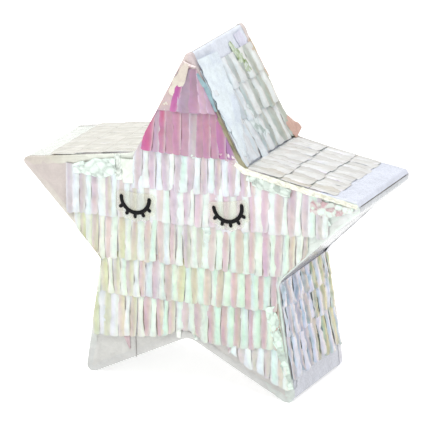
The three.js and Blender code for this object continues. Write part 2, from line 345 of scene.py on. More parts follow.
def bridged(start, notch, end, steps, web):
    """Points between two noses, with the notch cut off by a curve that starts web from it."""
    into = notch + (start - notch) / np.linalg.norm(start - notch) * web
    out = notch + (end - notch) / np.linalg.norm(end - notch) * web
    points = [mix(start, into, k / steps) for k in range(1, steps + 1)]
    if web:
        curve = 4
        for k in range(1, curve):
            t = k / curve
            points.append((1 - t) ** 2 * into + 2 * t * (1 - t) * notch + t * t * out)
    points += [mix(out, end, k / steps) for k in range(0 if web else 1, steps)]
    return points


def spans_at(z, outline):
    """The stretches of x that are inside an outline at a height z."""
    crossings = []
    for a, b in zip(outline, outline[1:] + outline[:1]):
        if (a[1] <= z) != (b[1] <= z):
            crossings.append(mix(a[0], b[0], (z - a[1]) / (b[1] - a[1])))
    crossings.sort()
    return list(zip(crossings[::2], crossings[1::2]))


FACE_EDGE = star_outline(0.4)

EYES = {"left": (-64, 42, 0), "right": (50, 47.5, 11)}  # x, z and tilt in degrees
EYE_DROP = 4  # how far the middle of an eye's arc and lashes is below its place
UNDER_EYES = 0.72  # how much of its height the fringe keeps under them


class Face:
    """The front (side -1) or the back (side 1). Places on it are x, how far down, and how proud."""

    def __init__(self, side):
        self.side = side

    def press(self, across, down, proud):
        """How proud film ends up there: the fringe lies flatter under the eyes."""
        if self.side < 0:
            for x, z, _ in EYES.values():
                apart = math.hypot(across - x, -down - z + EYE_DROP)
                proud *= mix(UNDER_EYES, 1, ease((apart - 27) / 12))
        return proud

    def at(self, across, down, proud):
        return (across, self.side * (HALF_DEPTH + proud), -down)

    def keep(self, across, down, about):
        """The nearest place to across that is on the star, on the same stretch as about."""
        spans = spans_at(-down, FACE_EDGE)
        if not spans:
            return across
        low, high = min(spans, key=lambda s: max(s[0] - about, about - s[1]))
        return min(high, max(low, across))


class Wall:
    """One side wall of a point. Places on it are y, how far along it, and how proud.
    side is the side of the point's axis that it is on, +1 anticlockwise."""

    def __init__(self, point, side, from_tip):
        axis = POINT_AXES[point]
        tip, notch = unit(axis) * TIP_RADIUS, unit(axis + side * TO_NOTCH) * NOTCH_RADIUS
        self.start, end = (tip, notch) if from_tip else (notch, tip)
        self.along = (end - self.start) / EDGE_LENGTH
        self.out = unit(axis + side * (90 - math.degrees(TIP_HALF_ANGLE)))

    def at(self, across, down, proud):
        x, z = self.start + self.along * down + self.out * proud
        return (x, across, z)

    def keep(self, across, down, about):
        return min(HALF_DEPTH, max(-HALF_DEPTH, across))

    def press(self, across, down, proud):
        return proud


# ---- Fringe ----


LAP = 9.0  # how far a strip reaches up under the one above it
LOWEST = 1.1  # film of the fringe is never nearer to the board than this
DARK_HALF, BRIGHT_HALF = 0.25, 0.31  # half the width of a finger, in pitches
UNCUT_FILM = "#ebe5e4"


class Finger:
    """One cut strip of film. left and right are (across at the top, across at the hem), tints are
    the colours there, and low and high are how proud it is there."""

    def __init__(self, left, right, top, hem, tints, edge, low, high):
        self.left, self.right, self.top, self.hem = left, right, top, hem
        self.tints, self.edge, self.low, self.high = tints, edge, low, high
        self.crown, self.twist, self.flare, self.puff = 0.7, 0.0, 0.4, 0.6
        self.belly, self.taper, self.crush, self.crush_size = 0.0, 0.0, 0.4, 11.0
        # A painted highlight: the near-white that the raised side turns to.
        self.painted_highlight = mix(edge, colour("#ffffff"), 0.6)
        self.drift, self.drift_side, self.drift_reach = edge, 1, 0.0
        self.seed = left[0] * 0.37

    def lift(self, s, t, across, down, height):
        """How proud it is: s goes from -1 to 1 across it, and t from 0 to 1 down it."""
        proud = mix(self.low, self.high, ease(1.3 * t))
        proud += self.crown * (1 - s * s) * ease(3 * t) + self.twist * s * t / 2
        proud += self.puff * math.sin(math.pi * t) + self.flare * t**5
        return proud + (0.3 * rough((across, 0, down), 9) + self.crush * height) * ease(3 * t)

    def tint(self, s, t, own, near):
        """Its colour: it drifts to another hue on one side and pales at its edges and hem. On the
        side that its twist raises it turns near-white, a painted highlight, and on the creases of
        its crumples it is darker, painted shade."""
        tint = mix(self.tints[0], self.tints[1], ease(t))
        turned = 0.5 + 0.5 * s * self.drift_side + 0.4 * rough((self.seed, 0, 9 * t), 4, 6.0)
        tint = mix(tint, self.drift, self.drift_reach * ease(turned))
        tint = mix(tint, self.edge, 0.8 * s * s)
        tint = mix(tint, self.edge, 0.45 * ease(7 * t - 6))
        # Painted highlight along the raised side.
        if s * self.twist > 0:
            tint = mix(tint, self.painted_highlight, 0.6 * ease(1.6 * abs(s) - 0.8))
        # Each facet of its crumples a little lighter or darker at random, and painted shade on the
        # creases between them.
        return tint * (1 + 0.12 * self.crush * (own - 0.5) - 0.1 * self.crush * near)


def add_finger(film, face, finger, columns=7, rows=12):
    grid = []
    for i in range(rows):
        t = i / (rows - 1)
        swell = finger.belly * math.sin(math.pi * t) - finger.taper * (1 - t)
        sway = 0.5 * rough((finger.seed, 0, 40 * t), 14, 3.0)
        u0 = mix(finger.left[0], finger.left[1], t) - swell + sway
        u1 = mix(finger.right[0], finger.right[1], t) + swell + sway
        line = []
        for j in range(columns):
            s = 2 * j / (columns - 1) - 1
            across = mix(u0, u1, (s + 1) / 2)
            down = mix(finger.top(across), finger.hem(across), t)
            down -= 1.3 * abs(s) ** 3 * ease(8 * t - 7)
            across = face.keep(across, down, (u0 + u1) / 2)
            height, own, near = facet((across, finger.low, down), finger.crush_size, finger.seed)
            proud = face.press(across, down, finger.lift(s, t, across, down, height))
            tint = finger.tint(s, t, own, near) * (1 + 0.04 * rough((across, 0, down), 12, 5.0))
            line.append((face.at(across, down, max(LOWEST, proud)), tint))
        grid.append(line)
    film.grid(grid)


def add_underlay(film, face, across, top, hem, tint, proud=1.8, step=5.0):
    """The uncut film behind a row's fingers."""
    count = max(2, round((across[1] - across[0]) / step))
    grid = []
    for t in (0.0, 0.33, 0.66, 1.0):
        line = []
        for k in range(count + 1):
            u = mix(*across, k / count)
            down = mix(top(u), hem(u), t)
            u = face.keep(u, down, u)
            wave = 0.25 * rough(face.at(u, down, proud), 14)
            line.append((face.at(u, down, proud + wave), tint))
        grid.append(line)
    film.grid(grid)


def steady(down):
    """The same distance down everywhere."""
    return lambda u: down


def polyline(*stops):
    """The distance down as a function of x, through stops of (x, height), level beyond them."""
    xs, zs = zip(*stops)
    return lambda x: -float(np.interp(x, xs, zs))


# How much of the red, green and blue in a row's colours is left. WARM is warmer film, and
# WARM_AND_DEEP warmer and darker film. The pink and lavender factors are painted shade, where
# the film's folds shade each other.
PLAIN = (1.0, 1.0, 1.0)
WARM = (0.99, 0.99, 0.885)
WARM_AND_DEEP = (0.93, 0.93, 0.835)
PINK_FOLD_SHADE = (0.87, 0.67, 0.71)
DEEPER_PINK_FOLD_SHADE = (0.85, 0.61, 0.66)
LAVENDER_FOLD_SHADE = (0.92, 0.97, 0.92)


def blend_stops(stops, x, tone):
    """The colours at x between stops of (x, colour, colour, ...), times a tone."""
    xs = [s[0] for s in stops]
    out = []
    for k in range(1, len(stops[0])):
        channels = np.array([colour(s[k]) for s in stops])
        out.append(np.array([np.interp(x, xs, channels[:, c]) for c in range(3)]) * tone)
    return out


# The other hues that a finger's film turns to on one side.
DARK_DRIFTS = ["#ded8a6", "#e2c4c8", "#d6c6d2", "#dfcaaa"]
BRIGHT_DRIFTS = ["#d8fae2", "#e9ecf5", "#fdfdec", "#f7f3de"]
PINK_EDGE = "#cfa6b6"


def striped_row(film, face, luck, across, top, hem, first, pitch, stops, lap=LAP, lively=1.0,
                ragged=1.4, drift=1.0, tone=PLAIN):
    """Bright fingers over darker ones, in turn. first is the middle of one darker finger.
    Each stop is (across, bright, dark at the top, dark at the hem). Lively is how much the
    fingers curl and differ, ragged is how uneven their ends are, and drift is how far their
    hues turn."""

    def lapped(u):
        return top(u) - lap

    add_underlay(film, face, across, lapped, lambda u: hem(u) - 4, colour(UNCUT_FILM))
    middle = first + pitch * math.ceil((across[0] - first) / pitch - 0.5)
    while middle < across[1] + pitch / 2:
        bright, dark_top, dark_hem = blend_stops(stops, middle, tone)
        shade = luck.uniform(0.93, 1.05)
        dark = (dark_top * shade, dark_hem * shade)
        edge = mix(mix(*dark, 0.5), bright, 0.45)
        for is_dark, at in ((True, middle), (False, middle + pitch / 2)):
            at += luck.uniform(-0.6, 0.6)
            half = pitch * (DARK_HALF if is_dark else BRIGHT_HALF) * luck.uniform(0.88, 1.12)
            half *= mix(1.35, 1.0, min(1.0, lively))
            lean = luck.uniform(-1.6, 1.6) * lively
            drop = luck.uniform(-ragged, ragged)
            left = (max(across[0], at - half - lean * 0.3), max(across[0], at - half + lean))
            right = (min(across[1], at + half - lean * 0.3), min(across[1], at + half + lean))
            if right[0] - left[0] < 2 or right[1] - left[1] < 2:
                continue
            level = luck.uniform(0.0, 0.8) * lively + (0.0 if is_dark else 0.2)
            finger = Finger(
                left, right, lapped, lambda u, drop=drop: hem(u) + drop,
                dark if is_dark else (bright, bright), edge, 2.0 + 0.3 * level, 2.8 + level,
            )
            finger.twist, finger.crown, finger.flare, finger.puff = (
                luck.uniform(*limits) * lively
                for limits in ((-1.4, 1.4), (0.3, 1.1), (-0.2, 1.1), (0.0, 0.6))
            )
            finger.belly = luck.uniform(0.2, 1.8) if is_dark else luck.uniform(-1.9, 0.1)
            finger.taper = luck.uniform(-0.6, 1.6)
            finger.drift = colour(luck.choice(DARK_DRIFTS if is_dark else BRIGHT_DRIFTS))
            finger.drift_side = luck.choice((-1, 1))
            finger.drift_reach = luck.uniform(0.2, 0.75) * drift
            finger.crush = 0.5 * lively
            add_finger(film, face, finger)
        middle += pitch


def listed_row(film, face, luck, top, hem, fingers, tone):
    """Fingers given one by one: (left and right at the top, left and right at the hem, colour at
    the top, colour at the hem, how proud it is)."""
    for x0, x1, x2, x3, tint_top, tint_hem, proud in fingers:
        tints = colour(tint_top) * tone, colour(tint_hem) * tone
        finger = Finger(
            (x0, x2), (x1, x3), lambda u: top(u) - LAP, hem, tints,
            mix(tints[1], colour(PINK_EDGE), 0.35), 1.5 + proud * 0.4, 2.5 + proud,
        )
        finger.twist = luck.uniform(-1.2, 1.2)
        finger.crown = luck.uniform(0.4, 1.0)
        finger.flare = luck.uniform(0.0, 1.2)
        finger.belly = 0.6
        add_finger(film, face, finger)


# Heights of the front hems, and the colours across each row: (x, bright, dark top, dark hem).
FRONT_TOP = polyline((-20, 189), (20, 192))
HEM_1 = polyline((-30, 148), (0, 149), (30, 152))
HEM_2 = polyline((-60, 99), (-20, 99), (10, 99), (50, 102))
HEM_3 = polyline((-70, 53), (0, 57), (80, 61))
HEM_4 = polyline((-150, 13), (-20, 18), (60, 21), (170, 26))
HEM_5 = polyline((-110, -35), (-50, -31), (20, -30), (110, -26))
HEM_6 = polyline((-110, -75), (0, -73), (50, -70), (110, -67))
HEM_7_LEFT = polyline((-110, -127), (-85, -126), (-60, -122), (-35, -119), (-10, -107))
HEM_7_RIGHT = polyline((3, -104), (20, -117), (45, -118), (75, -115), (120, -113))
HEM_8 = polyline((52, -124), (74, -138), (90, -144), (105, -152), (124, -158))
ARM_TOP = polyline((-150, 62), (-90, 60), (-75, 66), (75, 75), (130, 70), (190, 58))

STRIPE = 16.2  # from one darker finger to the next
STRIPES_3 = [
    (-60, "#f4fbf8", "#d9bfc6", "#d9bfc6"),
    (-10, "#f5fdf9", "#d6c4c4", "#d8c3c4"),
    (20, "#f4fdf9", "#d9b8c0", "#d4bcc4"),
    (70, "#f6fbfa", "#dcb9c8", "#dabfc6"),
]
STRIPES_4 = [
    (-150, "#f3f8f2", "#d8cac8", "#d9cbc4"),
    (-115, "#eefaf4", "#d9c3c5", "#dcc2c3"),
    (-60, "#f5fdf4", "#e0ccc8", "#e0d7c8"),
    (0, "#f8fcf0", "#e2c4cb", "#e5c8cc"),
    (95, "#f3fef4", "#e2bfc8", "#e2bec7"),
    (140, "#f3fef3", "#e0c0c6", "#e0ccba"),
    (170, "#eef8f0", "#dfc9cc", "#d7cfc8"),
]
STRIPES_5 = [
    (-131, "#f0f2e4", "#dfe0b4", "#dadda8"),
    (-100, "#eef6ee", "#dfc0c6", "#dcc0c6"),
    (-82, "#ecf5ec", "#dcc8bc", "#dedcae"),
    (-50, "#e4f6ee", "#e0bfbf", "#ddcbb8"),
    (-18, "#e9f8f2", "#ddbcc0", "#dcc6bc"),
    (14, "#eefaf4", "#d2d2c0", "#d8d4bd"),
    (48, "#e3faee", "#dcb9c2", "#d9bcc2"),
    (65, "#e6fbf0", "#dcc3b8", "#dbc6b2"),
    (98, "#eefbee", "#dbb4c6", "#d2a9c6"),
    (126, "#eefaf6", "#dcc8b8", "#dac8b8"),
]
STRIPES_6 = [
    (-90, "#f2f6f0", "#e0e0b0", "#e2dcb0"),
    (-71, "#e8ecfa", "#e0dab0", "#dfd4ac"),
    (-55, "#e6ecf6", "#dcc0be", "#d9b4bf"),
    (-24, "#dcfae6", "#dcbec0", "#dabdc0"),
    (-6, "#e2f8ea", "#dcd8b0", "#dfdcae"),
    (22, "#e8f6ec", "#dcc8b4", "#dec6b2"),
    (57, "#dcfbe6", "#dab4b8", "#d8aeb6"),
    (90, "#dcfae8", "#dcb4bc", "#d8b2b4"),
]
STRIPES_7 = [
    (-104, "#e9e8f8", "#d8dcb8", "#d4d8b4"),
    (-84, "#ecf0f8", "#e4d2ae", "#e0ccb8"),
    (-67, "#f2f8f0", "#dcd8b4", "#dcc4bc"),
    (-51, "#e2faec", "#dcb8c0", "#dbb4bd"),
    (-30, "#e4fbee", "#dcb8c0", "#d8b0bc"),
    (0, "#ecf8f0", "#dcc8c4", "#d8c4c2"),
    (28, "#dcf8e4", "#dab8b8", "#dcb6b8"),
    (76, "#dcf8e8", "#dcb2b6", "#dcb2ba"),
    (115, "#dcf8e6", "#dab8b4", "#dcc0b4"),
]
STRIPES_8 = [
    (60, "#f2f8f4", "#dcd0cc", "#dcd0cc"),
    (98, "#ecf9f4", "#dcccc4", "#dcccc8"),
    (122, "#f0f8f0", "#dcd6b8", "#dcd4c0"),
]

# The fingers of the two upper rows, as listed_row has them.
TOP_FINGERS = [
    (-40, -12, -44, -19, "#e6ded0", "#e8e0d0", 0.2),
    (-9, -3, -22, -12, "#c455ae", "#d46cac", 1.2),
    (-8, 4, -13, 3, "#b8a9b6", "#bca9b8", 0.6),
    (3, 13, 1, 18, "#b49ca8", "#c8a2b4", 0.4),
    (10, 16, 16, 27, "#dcc6d2", "#e0c8d6", 1.1),
    (14, 24, 25, 38, "#c8b4c8", "#d0b8c8", 0.6),
]
SECOND_FINGERS = [
    (-48, -39, -57, -44, "#c88aa2", "#e2609c", 1.4),
    (-41, -33, -45, -35, "#cfc6d0", "#d2c8d0", 0.3),
    (-34, -27, -36, -27, "#d8769c", "#d6acb8", 0.9),
    (-28, -18, -28, -17, "#d3b2bc", "#d6b0ba", 0.4),
    (-18, -8, -18, -8, "#d6aab8", "#dcaebc", 1.0),
    (-8, 3, -9, 3, "#d4b4c0", "#d4b8c0", 0.3),
    (3, 11, 2, 10, "#ccc6c8", "#dfece4", 0.9),
    (11, 19, 10, 20, "#d4aab6", "#d0aab6", 0.3),
    (19, 27, 20, 29, "#d6a4b2", "#d2a6b4", 1.1),
    (26, 36, 28, 39, "#d0a6b2", "#d4acb8", 0.5),
    (34, 44, 38, 48, "#c890b0", "#cf86b8", 1.2),
    (42, 52, 47, 59, "#b894b8", "#bb92ba", 0.6),
]


def place_fringe(film, name, node, body="shell", slot="pearl_fringe"):
    place(film.mesh(name, FRINGE_FILM), body, slot, node)


def front_fringe():
    face = Face(-1)
    # Rows 1 and 2 take the pink factors: painted shade of their folds.
    for name, top, hem, fingers, tone in [
        ("1", FRONT_TOP, HEM_1, TOP_FINGERS, PINK_FOLD_SHADE),
        ("2", HEM_1, HEM_2, SECOND_FINGERS, DEEPER_PINK_FOLD_SHADE),
    ]:
        film = Film()
        listed_row(film, face, random.Random(name), top, hem, fingers, tone)
        place_fringe(film, f"front_row_{name}", f"fringe_front_row_{name}")
    for name, across, top, hem, first, stops, tone in [
        ("3", (-70, 78), HEM_2, HEM_3, -44, STRIPES_3, PLAIN),
        ("4", (-152, 172), ARM_TOP, HEM_4, -131.3, STRIPES_4, PLAIN),
        ("5", (-142, 146), HEM_4, HEM_5, -131, STRIPES_5, WARM),
        ("6", (-113, 110), HEM_5, HEM_6, -88.5, STRIPES_6, WARM),
        ("7_left", (-119, 1), HEM_6, HEM_7_LEFT, -99.5, STRIPES_7, WARM),
        ("7_right", (-1, 122), HEM_6, HEM_7_RIGHT, 12.8, STRIPES_7, WARM_AND_DEEP),
        ("8_right", (50, 126), HEM_7_RIGHT, HEM_8, 66, STRIPES_8, PLAIN),
    ]:
        film = Film()
        striped_row(film, face, random.Random(name), across, top, hem, first, STRIPE, stops,
                    tone=tone)
        place_fringe(film, f"front_row_{name}", f"fringe_front_row_{name}")


# ---- Fringe on the back and on the door ----

DOOR_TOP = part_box("fill_door")[1][2] / MM - CENTRE_Z
DOOR_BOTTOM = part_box("fill_door")[0][2] / MM - CENTRE_Z
DOOR_HALF_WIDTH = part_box("fill_door")[1][0] / MM
BACK_HEMS = (146, 102, 54.3, 10, -38, -74, -118)
DOOR_HEMS = (10, -36)
BACK_STRIPES = [
    (-150, "#eef4f6", "#d8ccd0", "#d4c8d4"),
    (-60, "#e6f8ee", "#dcbcc4", "#dcc4b8"),
    (10, "#f0f6f4", "#d8c8cc", "#d8d4b8"),
    (80, "#e4f8ee", "#d8b8c4", "#d4b4c4"),
    (150, "#f0f4fa", "#d8d0c4", "#dcccc4"),
]


def back_fringe():
    face = Face(1)
    beside = DOOR_HALF_WIDTH + 1.3
    hem_1, hem_2, hem_3, hem_4, hem_5, hem_6, hem_7 = BACK_HEMS
    rows = [
        ("1", (-36, 36), 190, hem_1, LAP),
        ("2", (-60, 60), hem_1, hem_2, LAP),
        ("3", (-200, 200), hem_2, hem_3, LAP),
        ("4_left", (-195, -beside), hem_3, hem_4, LAP),
        ("4_right", (beside, 195), hem_3, hem_4, LAP),
        ("5_left", (-158, -beside), hem_4, hem_5, LAP),
        ("5_right", (beside, 158), hem_4, hem_5, LAP),
        ("6", (-112, 112), DOOR_BOTTOM - 1, hem_6, 0),
        ("7_left", (-120, -2), hem_6, hem_7, LAP),
        ("7_right", (2, 120), hem_6, hem_7, LAP),
    ]
    for number, (name, across, top, hem, lap) in enumerate(rows):
        film, luck = Film(), random.Random(100 + number)
        striped_row(film, face, luck, across, steady(-top), steady(-hem),
                    luck.uniform(0, STRIPE), STRIPE, BACK_STRIPES, lap, ragged=1.0)
        place_fringe(film, f"back_row_{name}", f"fringe_back_row_{name}")


def door_fringe():
    face = Face(1)
    inside = (-DOOR_HALF_WIDTH, DOOR_HALF_WIDTH)
    upper_hem, lower_hem = DOOR_HEMS
    rows = [("upper", DOOR_TOP - 4, upper_hem, 0), ("lower", upper_hem, lower_hem, LAP)]
    for number, (name, top, hem, lap) in enumerate(rows):
        film, luck = Film(), random.Random(120 + number)
        striped_row(film, face, luck, inside, steady(-top), steady(-hem), 4, STRIPE,
                    BACK_STRIPES, lap)
        if name == "upper":  # flat film up to the crease, clear of the row above as the door opens
            add_underlay(film, face, inside, steady(0.6 - DOOR_TOP), steady(8 - DOOR_TOP),
                         colour("#dcd6d4"), 0.6)
        place_fringe(film, f"door_row_{name}", f"fringe_door_{name}", "fill_door")


# ---- Fringe on the walls ----

SIDE_PITCH = 22.6  # as STRIPE, on the walls
TOP_HEMS, ARM_HEMS, LEG_HEMS = (60, 99, 143), (45, 79, 111), (31, 66, 113)  # along a wall
# The walls' colours across: (y, bright, dark at the top, dark at the hem). The darker colours are
# painted shade between the fingers and under the row above, tinted as the film is; the strong
# olives of LAVENDER are the film's own colour.
SILVER = [
    (-68, "#f1fcff", "#eaf8fd", "#e6f4fa"),
    (-15, "#f1fcfe", "#e8f5fa", "#cfe0e3"),
    (5, "#f4fefc", "#c6d8d4", "#a6b8b0"),
    (68, "#f6fffa", "#ccdaca", "#bec8b0"),
]
WHITE = [
    (-68, "#eef6f4", "#e0e6dc", "#d6d4c0"),
    (-30, "#f0f8f8", "#e4eceb", "#dde4e3"),
    (68, "#f0f8f8", "#e8f0f0", "#e2eaea"),
]
# Painted light: the left arm's upper wall faces the light and is painted nearly white, with next to
# no shade between its fingers.
NEAR_WHITE = [
    (-68, "#f8fef8", "#f7fdf6", "#f5fbf3"),
    (68, "#f9fffa", "#f8fef9", "#f7fdf7"),
]
LAVENDER = [
    (-68, "#dcebf8", "#c0d0d8", "#a8b8c0"),
    (-20, "#d2e2f8", "#a8b8ca", "#a6b6c0"),
    (8, "#d4e4f8", "#b0bfb2", "#aebe98"),
    (28, "#d8e6f8", "#a6ba78", "#aebe86"),
    (68, "#e6f2f8", "#bccf9c", "#c8d8be"),
]
WALL_ROWS = {
    # wall: (point, side, whether it hangs from the tip, start, hems, colours, how lively, how
    # ragged, how far from the front edge)
    "top_right": ("top", -1, True, 25, TOP_HEMS, SILVER, 0.9, 3, 2),
    "top_left": ("top", 1, True, 25, TOP_HEMS, SILVER, 0.3, 2, 9),
    "right_arm_upper": ("right_arm", 1, False, 2, ARM_HEMS, WHITE, 0.45, 2, 2),
    "left_arm_upper": ("left_arm", -1, False, 2, ARM_HEMS, NEAR_WHITE, 0.1, 1, 4),
    "right_leg_outer": ("right_leg", 1, False, 2, LEG_HEMS, LAVENDER, 1.3, 3, 2),
    "left_leg_outer": ("left_leg", -1, False, 2, LEG_HEMS, SILVER, 0.5, 2, 9),
}
# The right leg's outer wall takes the lavender factor: painted shade of its folds.
WALL_TONES = {"right_leg_outer": LAVENDER_FOLD_SHADE}


def wall_fringe():
    for number, (name, row) in enumerate(WALL_ROWS.items()):
        point, side, from_tip, start, hems, stops, lively, ragged, gap = row
        face = Wall(point, side, from_tip)
        top = start
        for k, hem in enumerate(hems):
            film, luck = Film(), random.Random(200 + 10 * number + k)
            first = luck.uniform(0, SIDE_PITCH)
            striped_row(
                film, face, luck, (gap - HALF_DEPTH, HALF_DEPTH - 2), steady(top), steady(hem),
                first, SIDE_PITCH, stops, 0 if k == 0 else LAP, lively, ragged, 0.0,
                WALL_TONES.get(name, PLAIN),
            )
            place_fringe(film, f"{name}_row_{k + 1}", f"fringe_{name}", slot="side_fringe")
            top = hem


# ---- Wraps round the points ----

# How far from the star's centre each wrap starts.
WRAP_START = {"top": 165, "left_arm": 92, "left_leg": 92, "right_leg": 92, "right_arm": 92}
# Each face's tint is partly the film's colour and partly painted light: the arms' upper walls are
# painted lighter and their lower walls darker, as the light falls from above.
WRAP_TINTS = {
    # point: (front, back, anticlockwise wall, clockwise wall)
    "top": ("#d8bcc4", "#dcd4dc", "#f2efe8", "#e6ecf8"),
    "left_arm": ("#cdc4c0", "#dcd8d6", "#dcd6d2", "#f9fef8"),
    "left_leg": ("#cccdca", "#d2d2d2", "#cfd0cf", "#dddddc"),
    "right_leg": ("#cccbc8", "#d2d2d4", "#d0d2dc", "#cfcfce"),
    "right_arm": ("#e4efe9", "#dcdce4", "#e0e5f3", "#c6c9ce"),
}
CORNER = 2.0  # radius of a wrap's long corners
BLUNT = {"right_arm": 3.2}  # how much fatter a wrap's end is than its point
BLUNT_FROM = 60  # how far along the wrap it starts to be fatter
WRAP_STEP = 3.0
ROUND_END = (0.85, 0.7, 0.5, 0.25, 0.06)  # steps of the rounded end, as parts of its quarter turn


def section(half_width, half_depth):
    """A rounded rectangle round a point's axis, as (sideways, y, which tint), closed."""
    side_steps, depth_steps, corner_steps = 24, 40, 3
    corner = min(CORNER, half_width * 0.9)
    a, b = half_width - corner, half_depth - corner
    sides = [  # each with the tint of the corner after it
        (-a, -half_depth, a, -half_depth, side_steps, 0, 2),
        (half_width, -b, half_width, b, depth_steps, 2, 1),
        (a, half_depth, -a, half_depth, side_steps, 1, 3),
        (-half_width, b, -half_width, -b, depth_steps, 3, 0),
    ]
    corners = [(a, -b, -90), (a, b, 0), (-a, b, 90), (-a, -b, 180)]
    points = []
    for (x0, y0, x1, y1, steps, tint, corner_tint), (x, y, start) in zip(sides, corners):
        for k in range(steps + 1):
            points.append((mix(x0, x1, k / steps), mix(y0, y1, k / steps), tint))
        for k in range(1, corner_steps):
            dx, dy = corner * unit(start + 90 * k / corner_steps)
            points.append((x + dx, y + dy, corner_tint))
    return points


def wrap_stations(point):
    """How far out each section of a wrap is, and its half width."""
    nose_radius = FOOT_NOSE if point.endswith("leg") else WRAP_NOSE
    sharp = tip_radius(WRAP_LIFT)
    middle = sharp - nose_radius / math.sin(TIP_HALF_ANGLE)
    tangent = middle + nose_radius * math.sin(TIP_HALF_ANGLE)
    start = WRAP_START[point]
    blunt = BLUNT.get(point, 0.0)
    count = round((tangent - start) / WRAP_STEP)
    stations = []
    for k in range(count + 1):
        out = mix(start, tangent, k / count)
        late = ease((out - start - BLUNT_FROM) / (tangent - start - BLUNT_FROM))
        stations.append((out, (sharp - out) * math.tan(TIP_HALF_ANGLE) + blunt * late))
    turn = math.radians(90) - TIP_HALF_ANGLE
    fatter = 1 + blunt / (nose_radius * math.sin(turn))
    for part in ROUND_END:
        out = middle + nose_radius * math.cos(turn * part) + 0.4 * blunt
        stations.append((out, nose_radius * math.sin(turn * part) * fatter))
    return stations


def wrap(point):
    axis = POINT_AXES[point]
    along, aside = unit(axis), unit(axis + 90)
    tints = [colour(c) for c in WRAP_TINTS[point]]
    seed = 10.0 + axis
    grid = []
    for out, half_width in wrap_stations(point):
        fade = min(1.0, half_width / 4)  # the folds die away towards the end
        line = []
        for sideways, y, tint in section(half_width, HALF_DEPTH + WRAP_LIFT):
            x, z = along * out + aside * sideways
            fold = 0.28 * crease((x, y, z), 26, seed) + 0.3 * rough((x, y, z), 40, seed)
            fold += 0.12 * crease((x, y, z), 9, seed)
            wider = 1 + 0.24 * fold * fade / (half_width + 12)
            deeper = 1 + 0.008 * fold * fade
            shade = 1 + 0.05 * rough((x, y, z), 30, seed)
            x, z = along * out + aside * sideways * wider
            line.append(((x, y * deeper, z), tints[tint] * shade))
        grid.append(line)
    film = Film()
    film.grid(grid, closed=True)
    place(film.mesh(f"film_wrap_{point}", WRAP_FILM, 0.3), "shell", "wrap_film", f"wrap_{point}")


# ---- Strips of film folded over the star's edges ----

# Edge by edge anticlockwise from the right arm's upper one: (tint by the tip, tint by the notch,
# how crumpled it is), on the front and then on the back.
EDGES = [
    (("#edf2f6", "#f0f4e2", 0.5), ("#e9e9ee", "#ece9e2", 0.4)),
    (("#cbbfc6", "#9a9468", 0.3), ("#d9c4c0", "#cdb48e", 0.7)),
    (("#dccecb", "#e8dcd2", 0.2), ("#e8e6e4", "#e6e8e2", 0.5)),
    (("#cac4b6", "#ecf2e8", 0.3), ("#f3f3ee", "#f3f3ee", 0.2)),
    (("#d0c7c3", "#dad8cc", 0.1), ("#dcdcdc", "#dcdcdc", 0.3)),
    (("#c8cbca", "#e6eee6", 0.2), ("#d6d8de", "#dcdce4", 0.4)),
    (("#c7c9c8", "#cecfcd", 0.1), ("#d2d2d2", "#d6d6d6", 0.2)),
    (("#c7c9c8", "#cecfcd", 0.1), ("#d2d2d2", "#d6d6d6", 0.2)),
    (("#d2dbd6", "#dceee4", 0.8), ("#e2e2ec", "#d9dcc4", 0.6)),
    (("#dfe4e0", "#dde9e2", 0.4), ("#dcdce4", "#dcdce4", 0.3)),
]


# The strip's section, from the face down the wall: (how far outside the outline, how proud).
EDGE_SECTION = [(-7, 0.9), (-5, 1.1), (-3, 1.2), (-1.2, 1.2), (0.6, 0.9), (1.3, 0.0),
                (1.4, -1.5), (1.3, -4.0), (1.2, -6.5)]
ON_THE_FACE = 6  # the first rings of it, which fold towards the viewer
BLEND = 0.12  # of an edge's length, over which one edge's look turns into the next


def edge_look(side, x, z):
    """The tint and the ruffle of the strip at a place on the star's edge."""
    sector = (math.degrees(math.atan2(z, x)) - POINT_AXES["right_arm"]) % 360 / TO_NOTCH
    reach = (math.hypot(x, z) - NOTCH_RADIUS) / (TIP_RADIUS - NOTCH_RADIUS)
    tints, ruffles = [], []
    for k in (int(sector), int(sector + BLEND) % len(EDGES)):
        tip, notch, ruffle = EDGES[k][0 if side < 0 else 1]
        tints.append(mix(colour(notch), colour(tip), ease(reach)))
        ruffles.append(ruffle)
    return mix(*tints, 0.5), mix(*ruffles, 0.5)


def edge_film(side, name):
    grid = []
    last = len(EDGE_SECTION) - 1
    for k, (offset, proud) in enumerate(EDGE_SECTION):
        line = []
        for x, z in star_outline(offset, edge_steps=40, nose_steps=6, web=9):
            tint, ruffle = edge_look(side, x, z)
            where = (x, side * 70, z)
            ragged = 3.0 * rough(where, 13, 3.0)
            fold = 1.1 * ruffle * crease((x, side * 70 + offset, z), 8, 7.0)
            grow = 1 + (fold * 0.6 + (ragged if k == 0 else 0.0)) / math.hypot(x, z)
            y = side * (HALF_DEPTH + proud + (fold if k < ON_THE_FACE else 0.0))
            if k == last:
                y -= side * ragged
            shade = 1 + 0.16 * ruffle * rough(where, 8, 4.0)
            line.append(((x * grow, y, z * grow), tint * shade))
        grid.append(line)
    film = Film()
    film.grid(grid, closed=True)
    place_sheet(film, name)


# ---- Crumpled and folded pieces of film ----


